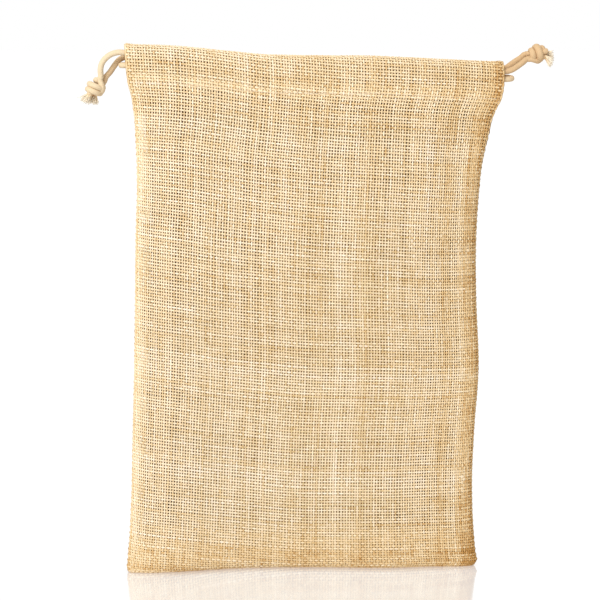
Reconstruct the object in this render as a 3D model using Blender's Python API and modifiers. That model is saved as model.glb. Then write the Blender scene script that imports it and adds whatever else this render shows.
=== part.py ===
"""Burlap drawstring sack: an empty pouch of jute cloth that stands upright on its folded foot.

Metres, +Z up. The front faces -Y. The origin is on the surface that the sack stands on, under
the middle of the cloth. One strip of cloth makes the whole pouch: it starts inside the mouth,
turns over the rim to make the front casing, goes down the front, under the foot, up the back,
and over the rim again to make the back casing. Two cotton drawstrings run through both casings.
Each has its two ends knotted together at one side of the mouth and its loop at the other side.
"""

import bmesh
import bpy
import numpy as np
from mathutils import Vector

MM = 0.001
FRONT, BACK = -1, 1  # the sign of Y on each face of the sack
LEFT, RIGHT = -1, 1  # the sign of X at each side of the sack

# The sack
HEIGHT = 0.3708  # of the rim, as the mean of its two corners
CLOTH = 0.0012  # thickness of the jute cloth
FOOT_HALF_DEPTH = 0.013  # of the flat that the sack stands on, at mid width
FOOT_CURVE_HEIGHT = 0.060  # where the faces stop curving in towards the foot
FOOT_ANGLES = (14, 28, 42, 56, 72)  # degrees up that curve, one row of the cloth's grid each
RIM_SLOPES_FROM = 0.074  # height from which the rows of cloth start to follow the rim's slope

# The casing that the drawstrings run in
CASING_DEPTH = 0.0273  # from the rim down to the line of stitches
CHANNEL = 0.0049  # clear depth for one drawstring
HEM_GAP = 0.0003  # between the two layers where they are stitched together
MOUTH_HALF_GAP = 0.0063  # at mid width
CORNER_HALF_GAP = 0.0003  # at the two sides
STITCHED_IN = 0.0010  # how far the row of stitches draws the casing in
CLOSES_FROM = 0.0165  # below the rim, where the two layers start to close towards the stitches
SLIT_BOTTOM = 0.331  # top of the side seams, where front and back part into two casings

# Where the drawstrings pass each other in a casing
CROSSING_X = 0.065  # right of the middle in the front casing, left of it in the back casing
CROSSING_RUN = 0.035  # half of the length over which they change levels
CROSSING_DEPTH = 0.0047  # how far the inner one moves towards the mouth
CROSSING_SPREAD = 0.022
BULGE_DEPTH = 0.0054  # how far the casing's inner layer gives way there
BULGE_SPREAD = 0.027

# Drawstrings
CORD = 0.004  # diameter
CASING_STEP = 0.012  # between the points of a cord's centre line inside the casings
BEND_STEP = 0.0028  # and outside them, where it bends tightly
BENDS_FROM = 0.1245  # distance from the middle at which the shorter step starts
ROUTE_SAMPLES = 20  # along each stretch of a route, to measure its length
LOOP_REACH = {LEFT: 0.0025, RIGHT: 0.0070}  # how far a loop's centre line stands out of each side
SEAT = 0.0003  # gap between pieces that touch
TUFT_STRANDS = 12  # of the frayed end of one cord
TUFT_COLLAR = 0.0020  # length of whole cord that the strands are rooted in
TUFT_ROOT_RADIUS = 0.0013  # of the ring that the outermost strands start on
STRAND_ROOT = 0.0008  # length of each strand inside the collar
STRAND_THICKNESS = 0.0006
STRAND_TAPER = 0.45  # lost by the tip, as a share of the thickness
STRAND_BEND = 0.0007  # outwards, at the tip of an outermost strand
STRAND_SPLAY = 0.55  # outwards, against 1 along the tuft
AXIS_LEAN = 0.35  # along the knot's own axis, against 1 along the tuft
SHORTEST_STRAND = 0.7  # as a share of the longest

# The knots
KNOT_RINGS = 22
KNOT_SIDES = 24
KNOT_ROUNDING = 0.52  # how round the barrel's ends are, from 0 to 1
KNOT_TURNS = 2.9  # turns of cord that show along the barrel
TURN_RELIEF = 0.18  # depth of the grooves between them, as a share of the radius

# The cloth's grid across one face and over its casing
COLUMNS = 26
SEAM_COLUMNS = np.array([0.0, 0.022, 0.058])  # close together at each seam, from 0 to 2 across
POUCH_ROWS = 15
NECK_ROWS = (0.36, 0.68)  # shares of the way from the slits' bottom to the casing
CASING_ROWS = 6
FOLD_STEPS = 4

# The rim's height across the sack, and the line that the foot follows, in millimetres
RIM = np.array(
    [
        # across (-1 to 1), rise above HEIGHT
        (-1.0, 5.8),
        (-0.75, 4.7),
        (-0.5, 1.7),
        (-0.3, -0.9),
        (0.0, -2.0),
        (0.3, -2.3),
        (0.6, -4.0),
        (0.8, -5.3),
        (1.0, -6.6),
    ]
)
FOOT_LINE = np.array(
    [
        # across (-1 to 1), how far behind the middle
        (-1.0, -12.0),
        (-0.75, -4.6),
        (-0.4, 2.4),
        (0.0, 1.8),
        (0.5, -4.2),
        (0.78, -7.0),
        (1.0, -15.0),
    ]
)

# A row for each level section of the pouch, from the foot up. Height, where the left and the
# right side seam stand, how far the front and the back belly out, all in millimetres.
SECTIONS = np.array(
    [
        # height, left, right, front, back
        (0.0, -131.8, 120.8, 24.0, 22.0),
        (3.0, -132.9, 122.5, 24.0, 22.0),
        (10.0, -132.4, 121.6, 24.0, 22.0),
        (30.0, -130.6, 119.2, 24.0, 22.5),
        (60.0, -128.7, 118.0, 24.0, 23.5),
        (100.0, -127.1, 118.6, 23.5, 24.5),
        (150.0, -125.0, 120.5, 23.0, 24.5),
        (200.0, -123.4, 118.2, 24.0, 23.5),
        (240.0, -122.2, 117.6, 24.0, 22.5),
        (275.0, -120.6, 119.5, 21.0, 20.0),
        (300.0, -120.7, 122.3, 17.5, 16.5),
        (320.0, -121.7, 126.4, 14.5, 14.0),
        (335.0, -123.7, 130.0, 13.0, 13.0),
        (345.0, -125.9, 133.6, 12.5, 12.5),
        (360.0, -127.1, 135.2, 12.5, 12.5),
        (378.0, -127.8, 133.6, 12.5, 12.5),
    ]
)

# Soft folds of the two faces: the face, how far across (-1 to 1), height in mm, half width
# across, half height in mm, lean (mm of height per unit across) and rise (mm, + is outwards).
FOLDS = np.array(
    [
        # face, across, height, width, tall, lean, rise
        (FRONT, -0.45, 285.0, 0.30, 16.0, 30.0, -0.9),
        (FRONT, 0.35, 221.0, 0.34, 9.0, -18.0, -1.1),
        (FRONT, 0.40, 246.0, 0.30, 12.0, -14.0, 0.9),
        (FRONT, -0.15, 118.0, 0.10, 60.0, 0.0, 0.9),
        (FRONT, 0.62, 150.0, 0.12, 80.0, 0.0, 0.8),
        (FRONT, -0.55, 70.0, 0.25, 22.0, 20.0, -0.9),
        (FRONT, 0.84, 300.0, 0.10, 26.0, 30.0, -1.6),
        (FRONT, 0.86, 225.0, 0.09, 30.0, 0.0, -1.4),
        (BACK, -0.40, 262.0, 0.32, 14.0, -24.0, -1.2),
        (BACK, 0.30, 205.0, 0.36, 16.0, 20.0, 1.0),
        (BACK, 0.05, 110.0, 0.12, 70.0, 0.0, -1.0),
        (BACK, 0.55, 92.0, 0.28, 20.0, -22.0, -1.0),
        (BACK, -0.62, 130.0, 0.14, 60.0, 8.0, 0.9),
    ]
)

# How far below the rim each drawstring runs in each casing, in mm, at its two ends
LEVELS = {
    # drawstring side: {casing: (at the left end, at the right end)}
    LEFT: {FRONT: (6.0, 12.0), BACK: (8.6, 10.8)},
    RIGHT: {FRONT: (14.4, 6.4), BACK: (14.4, 5.2)},
}

# The free ends, from the casing towards the knot, in mm: X, Y and Z along each centre line
TAILS = {
    LEFT: {
        FRONT: [(-131.4, -4.0, 371.0), (-136.0, -3.8, 369.9), (-140.4, -3.5, 367.0),
                (-143.2, -3.1, 363.2), (-144.2, -2.7, 358.8)],
        BACK: [(-131.4, 4.7, 366.0), (-134.9, 4.5, 362.0), (-138.2, 3.7, 357.3)],
    },
    RIGHT: {
        FRONT: [(137.8, -4.0, 357.8), (141.5, -4.1, 359.2), (145.3, -3.6, 361.6),
                (149.2, -2.9, 364.4)],
        BACK: [(137.4, 4.1, 359.6), (140.9, 4.0, 361.9), (144.6, 3.6, 364.6),
               (148.7, 2.9, 367.3)],
    },
}

# Each knot: its middle, the way from the sack to the frayed ends, its half length and radius in
# mm, how much its turns slant, and how far across its end the front and the back tail enter it
KNOTS = {
    LEFT: {
        "middle": (-148.3, 0.0, 347.5), "axis": (-0.314, 0.0, -0.949),
        "half_length": 5.0, "radius": 6.8, "slant": 0.08, "entry": {FRONT: -1.8, BACK: -4.8},
    },
    RIGHT: {
        "middle": (159.8, 0.0, 369.9), "axis": (0.973, 0.0, 0.229),
        "half_length": 6.5, "radius": 6.8, "slant": 0.10, "entry": {FRONT: 1.9, BACK: -1.3},
    },
}

# Each frayed end: the knot that it leaves, where on that knot's end (across and deep, in mm),
# the way that it points, and its length in mm
FRAYED_ENDS = {
    "left_front": (LEFT, (2.0, -2.2), (-0.72, -0.20, -0.66), 7.4),
    "left_back": (LEFT, (-2.2, 2.2), (0.22, 0.10, -0.97), 6.4),
    "right_front": (RIGHT, (2.7, -2.2), (0.42, -0.20, -0.88), 7.6),
    "right_back": (RIGHT, (0.6, 2.2), (0.90, 0.10, -0.40), 6.6),
}


def clear_scene():
    for old in list(bpy.data.objects):
        bpy.data.objects.remove(old, do_unlink=True)


def material(name, colour, roughness):
    made = bpy.data.materials.new(name)
    made.use_nodes = True
    shader = made.node_tree.nodes["Principled BSDF"]
    shader.inputs["Base Color"].default_value = (*colour, 1.0)
    shader.inputs["Roughness"].default_value = roughness
    shader.inputs["Metallic"].default_value = 0.0
    return made


def add_object(name, mesh, collection, finish):
    obj = bpy.data.objects.new(name, mesh)
    obj.data.materials.append(finish)
    collection.objects.link(obj)
    return obj


def ease(value, start, end):
    """0 before start, 1 after end, and a smooth step between them."""
    step = np.clip((value - start) / (end - start), 0.0, 1.0)
    return step * step * (3.0 - 2.0 * step)


def bell(value, middle, spread):
    return np.exp(-(((value - middle) / spread) ** 2))


def through(at, places, values):
    """A smooth curve through the given values: cubic pieces whose slopes are central differences."""
    slopes = np.gradient(values, places)
    left = np.clip(np.searchsorted(places, at, side="right") - 1, 0, len(places) - 2)
    span = places[left + 1] - places[left]
    t = np.clip((at - places[left]) / span, 0.0, 1.0)
    return (
        values[left] * (1 + 2 * t) * (1 - t) ** 2
        + slopes[left] * span * t * (1 - t) ** 2
        + values[left + 1] * t * t * (3 - 2 * t)
        + slopes[left + 1] * span * t * t * (t - 1)
    )


def section(height, column):
    """One column of SECTIONS, in metres, at a height in metres."""
    return through(height / MM, SECTIONS[:, 0], SECTIONS[:, column]) * MM


def rim_rise(u):
    return through(u, RIM[:, 0], RIM[:, 1]) * MM


def seam_to_seam(u, z):
    """X at u across the sack, from -1 at the left seam to 1 at the right seam."""
    left, right = section(z, 1), section(z, 2)
    return left + (right - left) * (u + 1) / 2


def fullness(u):
    """The pouch's depth across its width, as a share of its greatest: flat, with round shoulders."""
    return (1 - np.abs(u) ** 4) ** (2 / 3)


def mouth_half_gap(u):
    return CORNER_HALF_GAP + (MOUTH_HALF_GAP - CORNER_HALF_GAP) * (1 - u * u)


def middle_surface(u, z):
    """Y of the surface halfway between front and back: wavy at the foot, straight at the rim."""
    return through(u, FOOT_LINE[:, 0], FOOT_LINE[:, 1]) * MM * (1 - ease(z, 0.0, HEIGHT))


def soft_folds(face, u, z):
    rise = 0.0
    for side, across, height, width, tall, lean, out in FOLDS:
        if side == face:
            crest = (height + lean * (u - across)) * MM
            rise = rise + out * MM * bell(u, across, width) * bell(z, crest, tall * MM)
    return rise


def pouch_skin(face, u, z, share=1.0):
    """Outer points of one face below the casing.

    share is how much of the face's belly is reached: 0 on the foot's edge and 1 from
    FOOT_CURVE_HEIGHT up. Near the slits the pouch turns into the flat casing.
    """
    belly = section(z, 3 if face == FRONT else 4)
    depth = (FOOT_HALF_DEPTH + (belly - FOOT_HALF_DEPTH) * share) * fullness(u)
    depth = depth + soft_folds(face, u, z) * share * fullness(u)
    to_casing = np.clip((z - SLIT_BOTTOM) / (HEIGHT - CASING_DEPTH - SLIT_BOTTOM), 0.0, 1.0)
    depth = depth + (casing_depths(face, u, CASING_DEPTH)[0] - depth) * to_casing
    rise = rim_rise(u) * ease(z, RIM_SLOPES_FROM, HEIGHT)
    return np.stack([seam_to_seam(u, z), middle_surface(u, z) + face * depth, z + rise], -1)


def casing_depths(face, u, below_rim):
    """How far the casing's outer and inner skins are from the middle of the mouth."""
    x = seam_to_seam(u, np.full_like(u, HEIGHT - CASING_DEPTH))
    gives_way = BULGE_DEPTH * bell(x, -face * CROSSING_X, BULGE_SPREAD)
    closing = ease(below_rim, CLOSES_FROM, CASING_DEPTH)
    outer = mouth_half_gap(u) + CHANNEL + 2 * CLOTH - STITCHED_IN * closing
    wall = CHANNEL * (1 - closing) + HEM_GAP * closing + 2 * CLOTH
    return outer, outer - wall - gives_way * (1 - closing)


def casing_skin(face, u, depth, below_rim):
    """Points of the casing at a distance from the mouth's middle and a distance below the rim."""
    z = HEIGHT - below_rim
    rim_x = seam_to_seam(u, np.full_like(u, z))
    return np.stack([rim_x, face * depth, z + rim_rise(u)], -1)


def face_rows(face, u):
    """Rows of outer points of one face, from the foot's centre line to the hem inside the mouth."""
    foot = pouch_skin(face, u, np.zeros_like(u), 0.0)
    centre = foot.copy()
    centre[:, 1] = middle_surface(u, np.zeros_like(u))
    rows = [centre, foot]
    for angle in np.radians(FOOT_ANGLES):
        height = FOOT_CURVE_HEIGHT * (1 - np.cos(angle))
        rows.append(pouch_skin(face, u, np.full_like(u, height), np.sin(angle)))
    for height in np.linspace(FOOT_CURVE_HEIGHT, SLIT_BOTTOM, POUCH_ROWS):
        rows.append(pouch_skin(face, u, np.full_like(u, height)))
    for share in NECK_ROWS:
        height = SLIT_BOTTOM + share * (HEIGHT - CASING_DEPTH - SLIT_BOTTOM)
        rows.append(pouch_skin(face, u, np.full_like(u, height)))
    fold_radius = CHANNEL / 2 + CLOTH
    levels = np.linspace(CASING_DEPTH, fold_radius, CASING_ROWS)
    for below_rim in levels:
        rows.append(casing_skin(face, u, casing_depths(face, u, below_rim)[0], below_rim))
    outer, inner = casing_depths(face, u, fold_radius)
    for angle in np.linspace(0, np.pi, FOLD_STEPS + 2)[1:-1]:
        depth = (outer + inner) / 2 + np.cos(angle) * (outer - inner) / 2
        rows.append(casing_skin(face, u, depth, fold_radius * (1 - np.sin(angle))))
    for below_rim in levels[::-1]:
        rows.append(casing_skin(face, u, casing_depths(face, u, below_rim)[1], below_rim))
    return rows


def build_sack(collection, finish):
    """A grid of points on the strip's outer side, joined at the side seams, with Solidify."""
    inner = COLUMNS - 2 * len(SEAM_COLUMNS)
    across = np.linspace(SEAM_COLUMNS[-1], 2 - SEAM_COLUMNS[-1], inner + 2)[1:-1]
    u = np.concatenate([SEAM_COLUMNS, across, 2 - SEAM_COLUMNS[::-1]]) - 1
    back = face_rows(BACK, u)[::-1]
    strip = np.array(back + face_rows(FRONT, u)[1:])
    rows, columns, _ = strip.shape
    index = np.arange(rows * columns).reshape(rows, columns)
    quads = np.stack([index[:-1, :-1], index[:-1, 1:], index[1:, 1:], index[1:, :-1]], -1)
    mesh = bpy.data.meshes.new("sack_cloth")
    mesh.from_pydata(strip.reshape(-1, 3).tolist(), [], quads.reshape(-1, 4).tolist())
    edit = bmesh.new()
    edit.from_mesh(mesh)
    bmesh.ops.remove_doubles(edit, verts=edit.verts, dist=1e-5)
    bmesh.ops.dissolve_degenerate(edit, edges=edit.edges, dist=1e-6)
    edit.to_mesh(mesh)
    edit.free()
    mesh.shade_smooth()
    sack = add_object("sack_cloth", mesh, collection, finish)
    wall = sack.modifiers.new("cloth", "SOLIDIFY")
    wall.thickness = CLOTH
    wall.offset = -1
    wall.use_even_offset = True
    wall.use_quality_normals = True


def level_change(face, x):
    """From 0 to 1 across a crossing, timed so that the two cords are level where they pass."""
    apart_left, apart_right = np.subtract(LEVELS[RIGHT][face], LEVELS[LEFT][face])
    share = apart_left / (apart_left - apart_right)
    middle = -face * CROSSING_X - 2 * CROSSING_RUN * (share - 0.5) / 1.5
    return ease(x, middle - CROSSING_RUN, middle + CROSSING_RUN)


def cord_in_casing(side, face, x):
    """Centre line of one drawstring inside one casing, at the given X places."""
    crossing = -face * CROSSING_X
    left_level, right_level = LEVELS[side][face]
    changed = level_change(face, x)
    below_rim = (left_level + (right_level - left_level) * changed) * MM
    left, right = section(HEIGHT, 1), section(HEIGHT, 2)
    u = np.clip(2 * (x - left) / (right - left) - 1, -1, 1)
    depth = mouth_half_gap(u) + CLOTH + CHANNEL / 2
    if side == RIGHT:
        depth = depth - CROSSING_DEPTH * bell(x, crossing, CROSSING_SPREAD)
    return np.stack([x, face * depth, HEIGHT + rim_rise(u) - below_rim], -1)


def knot_frame(side):
    """A knot's middle, its axis, and two unit vectors square to it: to the front, and across."""
    middle = np.array(KNOTS[side]["middle"]) * MM
    axis = np.array(KNOTS[side]["axis"])
    axis = axis / np.linalg.norm(axis)
    forward = np.array([0.0, -1.0, 0.0])
    return middle, axis, forward, np.cross(axis, forward)


def knot_entry(side, face):
    """The last two points of a tail's centre line, which meets the knot's near end squarely."""
    middle, axis, forward, across = knot_frame(side)
    knot = KNOTS[side]
    near_end = middle - axis * (knot["half_length"] * MM + SEAT)
    beside = -face * (CORD / 2 + SEAT / 2)
    end = near_end + forward * beside + across * knot["entry"][face] * MM
    return np.array([end - axis * BEND_STEP, end])


def drawstring_route(side):
    """From the knot through the front casing, round the far side and back through the other."""
    near = section(HEIGHT, 1 if side == LEFT else 2)
    far = section(HEIGHT, 2 if side == LEFT else 1)
    inside = np.linspace(near - side * 0.001, far, 30)
    front = cord_in_casing(side, FRONT, inside)
    back = cord_in_casing(side, BACK, inside)
    turn = np.radians(np.linspace(-80, 80, 9))
    loop = np.stack(
        [
            far - side * LOOP_REACH[-side] * np.cos(turn) ** 0.7,
            front[-1, 1] * -np.sin(turn),
            np.linspace(front[-1, 2], back[-1, 2], len(turn)),
        ],
        -1,
    )
    tail_front = np.vstack([np.array(TAILS[side][FRONT]) * MM, knot_entry(side, FRONT)])
    tail_back = np.vstack([np.array(TAILS[side][BACK]) * MM, knot_entry(side, BACK)])
    return np.concatenate([tail_front[::-1], front, loop, back[::-1], tail_back])


def cord_points(route):
    """Points on a smooth curve through the route's own: far apart in the casings, close outside."""
    along = np.concatenate([[0], np.cumsum(np.linalg.norm(np.diff(route, axis=0), axis=1))])
    fine = np.linspace(0, along[-1], ROUTE_SAMPLES * len(route))
    curve = np.stack([through(fine, along, route[:, axis]) for axis in range(3)], -1)
    bends = np.abs(curve[:, 0]) > BENDS_FROM
    step = np.where(bends, BEND_STEP, CASING_STEP)[1:]
    steps = np.concatenate([[0], np.cumsum(np.linalg.norm(np.diff(curve, axis=0), axis=1) / step)])
    places = np.linspace(0, steps[-1], int(round(steps[-1])) + 1)
    return np.stack([np.interp(places, steps, curve[:, axis]) for axis in range(3)], -1)


def build_drawstring(name, side, collection, finish):
    points = cord_points(drawstring_route(side))
    curve = bpy.data.curves.new(name, "CURVE")
    curve.dimensions = "3D"
    curve.bevel_depth = CORD / 2
    curve.bevel_resolution = 2
    curve.use_fill_caps = True
    spline = curve.splines.new("POLY")
    spline.points.add(len(points) - 1)
    spline.points.foreach_set("co", np.hstack([points, np.ones((len(points), 1))]).ravel())
    add_object(name, curve, collection, finish)


def build_knot(name, side, collection, finish):
    """A barrel with three raised turns of cord that slant round it, closed at both ends."""
    middle, axis, forward, across = knot_frame(side)
    knot = KNOTS[side]
    s = np.linspace(-1, 1, KNOT_RINGS)[:, None]
    turn = (np.arange(KNOT_SIDES) * 2 * np.pi / KNOT_SIDES)[None, :]
    barrel = np.sqrt(1 - KNOT_ROUNDING * np.abs(s) ** 4)
    ridge = np.abs(np.cos(KNOT_TURNS * np.pi / 2 * (s - knot["slant"] * np.sin(turn))))
    reach = knot["radius"] * MM * barrel * (1 - TURN_RELIEF * (1 - ridge))
    points = (
        middle
        + (knot["half_length"] * MM * s)[..., None] * axis
        + (reach * np.cos(turn))[..., None] * forward
        + (reach * np.sin(turn))[..., None] * across
    ).reshape(-1, 3)
    index = np.arange(KNOT_RINGS * KNOT_SIDES).reshape(KNOT_RINGS, KNOT_SIDES)
    after = np.roll(index, -1, axis=1)
    quads = np.stack([index[:-1], after[:-1], after[1:], index[1:]], -1).reshape(-1, 4)
    mesh = bpy.data.meshes.new(name)
    caps = [index[0][::-1].tolist(), index[-1].tolist()]
    mesh.from_pydata(points.tolist(), [], quads.tolist() + caps)
    mesh.shade_smooth()
    add_object(name, mesh, collection, finish)


def add_strand(edit, root, way, length, bend):
    """One four-sided strand that tapers from its root to a blunt tip."""
    way = way.normalized()
    side = way.orthogonal().normalized()
    other = way.cross(side)
    rings = []
    for share in (0.0, 0.5, 1.0):
        middle = root + way * length * share + bend * share * share
        half = STRAND_THICKNESS / 2 * (1 - STRAND_TAPER * share)
        corners = [side + other, other - side, -side - other, side - other]
        rings.append([edit.verts.new(middle + corner * half) for corner in corners])
    for low, high in zip(rings, rings[1:]):
        for k in range(4):
            edit.faces.new((low[k], low[(k + 1) % 4], high[(k + 1) % 4], high[k]))
    edit.faces.new(rings[0][::-1])
    edit.faces.new(rings[-1])


def build_frayed_end(name, end, collection, cutters, finish):
    """A short collar of whole cord with strands of loose yarn rooted in its outer face."""
    side, (sideways, deep), way, length = FRAYED_ENDS[end]
    middle, axis, forward, across = (Vector(v) for v in knot_frame(side))
    start = middle + axis * (KNOTS[side]["half_length"] * MM + SEAT)
    start = start + across * sideways * MM - forward * deep * MM
    edit = bmesh.new()
    radius = CORD / 2 - SEAT
    bmesh.ops.create_cone(
        edit, cap_ends=True, segments=10, radius1=radius, radius2=radius, depth=TUFT_COLLAR
    )
    cord_end = bpy.data.meshes.new(name)
    edit.to_mesh(cord_end)
    edit.free()
    collar = add_object(name, cord_end, collection, finish)
    collar.rotation_mode = "QUATERNION"
    collar.rotation_quaternion = Vector((0, 0, 1)).rotation_difference(axis)
    collar.location = start + axis * TUFT_COLLAR / 2

    edit = bmesh.new()
    golden = np.pi * (3 - np.sqrt(5))
    uneven = np.random.default_rng(len(end)).random(TUFT_STRANDS)
    way = Vector(way).normalized()
    for k in range(TUFT_STRANDS):
        spread = np.sqrt((k + 0.5) / TUFT_STRANDS)
        out = forward * np.cos(k * golden) + across * np.sin(k * golden)
        root = start + axis * (TUFT_COLLAR - STRAND_ROOT) + out * spread * TUFT_ROOT_RADIUS
        lean = axis * AXIS_LEAN + way + out * spread * STRAND_SPLAY
        reach = (length * MM - TUFT_COLLAR) * (SHORTEST_STRAND + (1 - SHORTEST_STRAND) * uneven[k])
        add_strand(edit, root, lean, reach, out * spread * STRAND_BEND)
    strands = bpy.data.meshes.new(name + "_strands")
    edit.to_mesh(strands)
    edit.free()
    cutter = bpy.data.objects.new(name + "_strands", strands)
    cutter.hide_render = True
    cutter.display_type = "WIRE"
    cutters.objects.link(cutter)
    fuse = collar.modifiers.new("rooted strands", "BOOLEAN")
    fuse.operation = "UNION"
    fuse.use_self = True
    fuse.object = cutter


def main():
    clear_scene()
    parts = bpy.data.collections.new("burlap_sack")
    cutters = bpy.data.collections.new("cutters")
    bpy.context.scene.collection.children.link(parts)
    bpy.context.scene.collection.children.link(cutters)
    cutters.hide_render = True
    jute = material("jute_cloth", (0.76, 0.58, 0.35), 0.95)
    cotton = material("cotton_cord", (0.89, 0.74, 0.52), 0.90)

    build_sack(parts, jute)
    for word, side in (("left", LEFT), ("right", RIGHT)):
        build_drawstring(f"drawstring_{word}", side, parts, cotton)
        build_knot(f"knot_{word}", side, parts, cotton)
    for end in FRAYED_ENDS:
        build_frayed_end(f"frayed_end_{end}", end, parts, cutters, cotton)


main()
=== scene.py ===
"""Burlap drawstring sack: the looks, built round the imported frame.

The cloth is woven here from real yarns. Every crossing of a warp yarn and a weft yarn is a point
on the sack's surface, worked out with numpy, and each yarn is a four-sided tube that runs through
its crossings, over one and under the next. The drawstrings, the wraps of their knots, the frayed
ends, the inner edges of the side seams, the stitches and the loose fibres are tubes along paths.
Metres, +Z up, front faces -Y.
"""

import bpy
import numpy as np
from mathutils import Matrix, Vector


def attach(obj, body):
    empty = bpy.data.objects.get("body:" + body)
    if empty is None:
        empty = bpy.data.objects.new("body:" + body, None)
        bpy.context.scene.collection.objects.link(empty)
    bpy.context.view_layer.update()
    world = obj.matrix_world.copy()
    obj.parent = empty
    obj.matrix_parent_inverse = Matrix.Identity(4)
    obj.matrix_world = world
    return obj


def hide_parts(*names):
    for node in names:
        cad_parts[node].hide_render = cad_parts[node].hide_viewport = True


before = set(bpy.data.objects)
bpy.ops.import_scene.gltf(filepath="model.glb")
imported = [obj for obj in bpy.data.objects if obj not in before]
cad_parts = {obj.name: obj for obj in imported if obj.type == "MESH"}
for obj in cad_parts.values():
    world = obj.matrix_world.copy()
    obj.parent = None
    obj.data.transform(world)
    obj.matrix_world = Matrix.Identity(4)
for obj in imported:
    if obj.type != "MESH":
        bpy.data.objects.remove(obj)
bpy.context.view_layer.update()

MM = 0.001
FRONT, BACK = -1, 1
LEFT, RIGHT = -1, 1

# The sack's sizes, as in the solids
HEIGHT = 0.3708
CLOTH = 0.0012
FOOT_HALF_DEPTH = 0.013
FOOT_CURVE_HEIGHT = 0.060
RIM_SLOPES_FROM = 0.074
CASING_DEPTH = 0.0273
CHANNEL = 0.0049
HEM_GAP = 0.0003
MOUTH_HALF_GAP = 0.0063
CORNER_HALF_GAP = 0.0003
STITCHED_IN = 0.0010
CLOSES_FROM = 0.0165
SLIT_BOTTOM = 0.331
CROSSING_X = 0.065
CROSSING_RUN = 0.035
CROSSING_DEPTH = 0.0047
CROSSING_SPREAD = 0.022
BULGE_DEPTH = 0.0054
BULGE_SPREAD = 0.027
FOLD_RADIUS = CHANNEL / 2 + CLOTH  # of the cloth's outer side where it turns over the rim

# Tables of the sack's shape, in mm except across, which runs from -1 to 1
RIM = np.array([
    # across, rise above HEIGHT
    (-1.0, 5.8), (-0.75, 4.7), (-0.5, 1.7), (-0.3, -0.9), (0.0, -2.0), (0.3, -2.3),
    (0.6, -4.0), (0.8, -5.3), (1.0, -6.6),
])
FOOT_LINE = np.array([
    # across, how far behind the middle
    (-1.0, -12.0), (-0.75, -4.6), (-0.4, 2.4), (0.0, 1.8), (0.5, -4.2), (0.78, -7.0),
    (1.0, -15.0),
])
# The right column is up to 2 mm further in than in the solids, because the yarns stand out from it
SECTIONS = np.array([
    # height, left, right, front, back
    (0.0, -131.8, 118.6, 24.0, 22.0),
    (3.0, -132.9, 121.2, 24.0, 22.0),
    (10.0, -132.4, 120.4, 24.0, 22.0),
    (30.0, -130.6, 118.4, 24.0, 22.5),
    (60.0, -128.7, 116.9, 24.0, 23.5),
    (100.0, -127.1, 117.8, 23.5, 24.5),
    (150.0, -125.0, 120.5, 23.0, 24.5),
    (200.0, -123.4, 118.2, 24.0, 23.5),
    (240.0, -122.2, 117.6, 24.0, 22.5),
    (275.0, -120.6, 119.0, 21.0, 20.0),
    (300.0, -120.7, 121.5, 17.5, 16.5),
    (320.0, -121.7, 125.8, 14.5, 14.0),
    (335.0, -123.7, 129.4, 13.0, 13.0),
    (345.0, -125.9, 133.6, 12.5, 12.5),
    (360.0, -127.1, 135.2, 12.5, 12.5),
    (378.0, -127.8, 133.6, 12.5, 12.5),
])
FOLDS = np.array([
    # face, across, height, width, tall, lean, rise
    (FRONT, -0.45, 285.0, 0.30, 16.0, 30.0, -0.9),
    (FRONT, 0.35, 221.0, 0.34, 9.0, -18.0, -1.1),
    (FRONT, 0.40, 246.0, 0.30, 12.0, -14.0, 0.9),
    (FRONT, -0.15, 118.0, 0.10, 60.0, 0.0, 0.9),
    (FRONT, 0.62, 150.0, 0.12, 80.0, 0.0, 0.8),
    (FRONT, -0.55, 70.0, 0.25, 22.0, 20.0, -0.9),
    (FRONT, 0.84, 300.0, 0.10, 26.0, 30.0, -1.6),
    (FRONT, 0.86, 225.0, 0.09, 30.0, 0.0, -1.4),
    (BACK, -0.40, 262.0, 0.32, 14.0, -24.0, -1.2),
    (BACK, 0.30, 205.0, 0.36, 16.0, 20.0, 1.0),
    (BACK, 0.05, 110.0, 0.12, 70.0, 0.0, -1.0),
    (BACK, 0.55, 92.0, 0.28, 20.0, -22.0, -1.0),
    (BACK, -0.62, 130.0, 0.14, 60.0, 8.0, 0.9),
])

# The drawstrings, as in the solids
CORD = 0.004
LOOP_REACH = {LEFT: 0.0025, RIGHT: 0.0070}
LOOP_TURN, LOOP_BLUNTNESS = 80, 0.7  # degrees each way; under 1 is blunter than a circle
CORD_OVERLAP = 0.001  # how far inside the casing the cord's way through it begins
SEAT = 0.0003
BEND_STEP = 0.0028
LEVELS = {
    # drawstring side: {casing: (at the left end, at the right end)}
    LEFT: {FRONT: (6.0, 12.0), BACK: (8.6, 10.8)},
    RIGHT: {FRONT: (14.4, 6.4), BACK: (14.4, 5.2)},
}
TAILS = {
    LEFT: {
        FRONT: [(-131.4, -4.0, 371.0), (-136.0, -3.8, 369.9), (-140.4, -3.5, 367.0),
                (-143.2, -3.1, 363.2), (-144.2, -2.7, 358.8)],
        BACK: [(-131.4, 4.7, 366.0), (-134.9, 4.5, 362.0), (-138.2, 3.7, 357.3)],
    },
    RIGHT: {
        FRONT: [(137.8, -4.0, 357.8), (141.5, -4.1, 359.2), (145.3, -3.6, 361.6),
                (149.2, -2.9, 364.4)],
        BACK: [(137.4, 4.1, 359.6), (140.9, 4.0, 361.9), (144.6, 3.6, 364.6),
               (148.7, 2.9, 367.3)],
    },
}
KNOTS = {
    # middle, axis, half length, and where across the knot each tail enters
    LEFT: ((-148.3, 0.0, 347.5), (-0.314, 0.0, -0.949), 5.0, {FRONT: -1.8, BACK: -4.8}),
    RIGHT: ((159.8, 0.0, 369.9), (0.973, 0.0, 0.229), 6.5, {FRONT: 1.9, BACK: -1.3}),
}

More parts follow.
